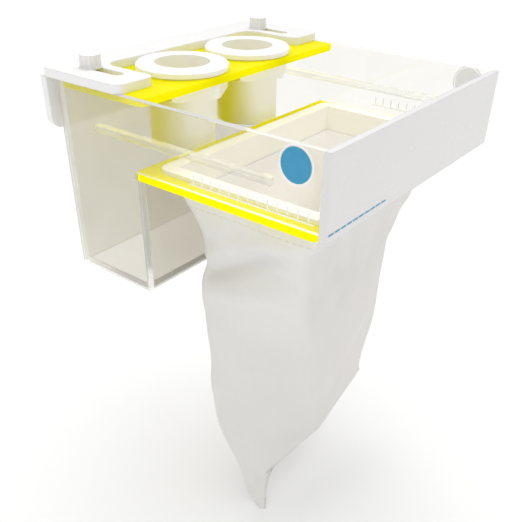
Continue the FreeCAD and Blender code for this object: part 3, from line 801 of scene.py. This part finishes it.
def makeStitches(plan, rows):
    size = tuple(part * mm for part in plan["size"])
    for name, row in (("hem_stitches", rows[plan["hemRow"]]), ("seam_stitches", rows[plan["seamRow"]])):
        made = runAlong(name, [point * mm for point in row], True, stitchTree, stitchSockets,
                        plan["pitch"] * mm, size, seamThread)
        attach(made, "sock")


makeStitches(stitchPlan, sockSurface)
print("stitches made")


# plain marks on the clear walls and the end panel: dot, level line with ticks, and a thin rule
printPlan = {
    "wallFace": 95.0, "lift": 0.06, "thick": 0.05,
    "dotPlace": (171.6, -9.8), "dotRadius": 8.6, "dotHole": 0.02, "dotSteps": 64, "ringGap": 0.5, "ring": 0.7,
    "lineStart": 108.0, "lineEnd": 180.0, "lineZ": -36.0, "lineHeight": 0.7,
    "tickStep": 6.0, "tickWidth": 1.0, "tickHeight": 4.8,
    "ruleStart": -90.5, "ruleEnd": -41.0, "ruleZ": -40.2, "ruleHeight": 0.9, "ruleGap": 5.2, "ruleDash": 0.85}


def wallPoint(plan, side, x, z, out):   # side is -1 on the front wall and 1 on the back wall
    return (x * mm, side * (plan["wallFace"] + plan["lift"] + out) * mm, z * mm)


def roundMark(plan, side, inner, outer):   # a thin printed ring; with a hole too small to see, a disc
    x, z = plan["dotPlace"]
    count = plan["dotSteps"]
    verts, faces = [], []
    for out in (0.0, plan["thick"]):
        for radius in (inner, outer):
            for i in range(count):
                turn = 2 * math.pi * i / count
                right, up = radius * math.cos(turn), radius * math.sin(turn)
                verts.append(wallPoint(plan, side, x + right, z + up, out))
    a, b, c, d = [count * k for k in range(4)]
    for i in range(count):
        j = (i + 1) % count
        faces += [(c + i, c + j, d + j, d + i), (b + i, b + j, a + j, a + i),
                  (b + j, b + i, d + i, d + j), (a + i, a + j, c + j, c + i)]
    return verts, faces


def makePrints(plan):
    thick, step = plan["thick"], plan["tickStep"]
    radius = plan["dotRadius"]
    ring = radius + plan["ringGap"]
    low, tall = plan["lineZ"], plan["lineZ"] + plan["lineHeight"] + plan["tickHeight"] / 2
    for name, side, dotInk, lineInk in (("front", -1, blueInk, whiteInk), ("back", 1, greyInk, greyInk)):
        marks = []
        for label, inner, outer, ink in (("dot", plan["dotHole"], radius, dotInk),
                                         ("ring", ring, ring + plan["ring"], lineInk)):
            verts, faces = roundMark(plan, side, inner, outer)
            marks.append(newPiece(name + "_print_" + label, verts, faces, ink, smooth=False))
        for label, z, size in (("line", low, (step, thick, plan["lineHeight"])),
                               ("ticks", tall, (plan["tickWidth"], thick, plan["tickHeight"]))):
            ends = [wallPoint(plan, side, x, z, thick / 2) for x in (plan["lineStart"], plan["lineEnd"])]
            marks.append(runAlong(name + "_print_" + label, ends, False, markTree, markSockets, step * mm,
                                  tuple(part * mm for part in size), lineInk))
        for piece in marks:
            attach(piece, "box")
    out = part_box("end_panel")[1][0] + (plan["lift"] + thick / 2) * mm
    ends = [(out, y * mm, plan["ruleZ"] * mm) for y in (plan["ruleStart"], plan["ruleEnd"])]
    dash = (plan["ruleGap"] * plan["ruleDash"] * mm, thick * mm, plan["ruleHeight"] * mm)
    rule = runAlong("panel_print_rule", ends, False, markTree, markSockets, plan["ruleGap"] * mm, dash, blueInk)
    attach(rule, "box")


makePrints(printPlan)
print("printed marks made")


# studio floor, lamps and air
studioPlan = {
    "floorSize": 7.0, "floorDrop": 0.001, "floorLift": 0.03, "sky": 0.60,
    "floorColour": (0.80, 0.80, 0.80, 1), "grainColour": (0.78, 0.78, 0.78, 1),
    "grainScale": 60.0, "grain": 0.04,
    "keyStrength": 2.3, "keySpread": 75, "keyPlace": (-0.12, 0.25, 1.0), "keyAim": (0, 0, 0),
    "fillPower": 2.2, "fillSize": 1.2, "fillPlace": (0.75, -1.2, -0.05), "fillAim": (0.12, 0, -0.15)}


def aimed(data, place, target):
    lamp = addObject(data.name, data)
    turn = (Vector(target) - Vector(place)).to_track_quat("-Z", "Y")
    lamp.matrix_world = Matrix.Translation(place) @ turn.to_matrix().to_4x4()


def studioPaper(plan):
    material, tree, shader, out = newFinish("studioPaper")
    grain = cloudy(tree, objectPlace(tree), plan["grainScale"], 3.0)
    paper = partBlend(tree, grain, plan["grain"], plan["floorColour"], plan["grainColour"])
    feed(tree, paper, shader.inputs["Base Color"])
    shader.inputs["Roughness"].default_value = 0.9
    shader.inputs["Emission Color"].default_value = (1, 1, 1, 1)
    shader.inputs["Emission Strength"].default_value = plan["floorLift"]
    return material


def makeStudio(plan):
    low, size = cadBox[0][2] - plan["floorDrop"], plan["floorSize"]
    corners = [(-size, -size, low), (size, -size, low), (size, size, low), (-size, size, low)]
    floor = newPiece("studioFloor", corners, [(0, 1, 2, 3)], studioPaper(plan), smooth=False)
    key = bpy.data.lights.new("keyLight", "SUN")
    key.energy = plan["keyStrength"]
    key.angle = math.radians(plan["keySpread"])
    aimed(key, plan["keyPlace"], plan["keyAim"])
    fill = bpy.data.lights.new("fillLight", "AREA")
    fill.energy = plan["fillPower"]
    fill.size = plan["fillSize"]
    aimed(fill, plan["fillPlace"], plan["fillAim"])
    world = bpy.data.worlds.new("studioAir")
    world.use_nodes = True
    air = world.node_tree.nodes["Background"]
    air.inputs[0].default_value = (1, 1, 1, 1)
    air.inputs[1].default_value = plan["sky"]
    bpy.context.scene.world = world


makeStudio(studioPlan)
print("studio made")
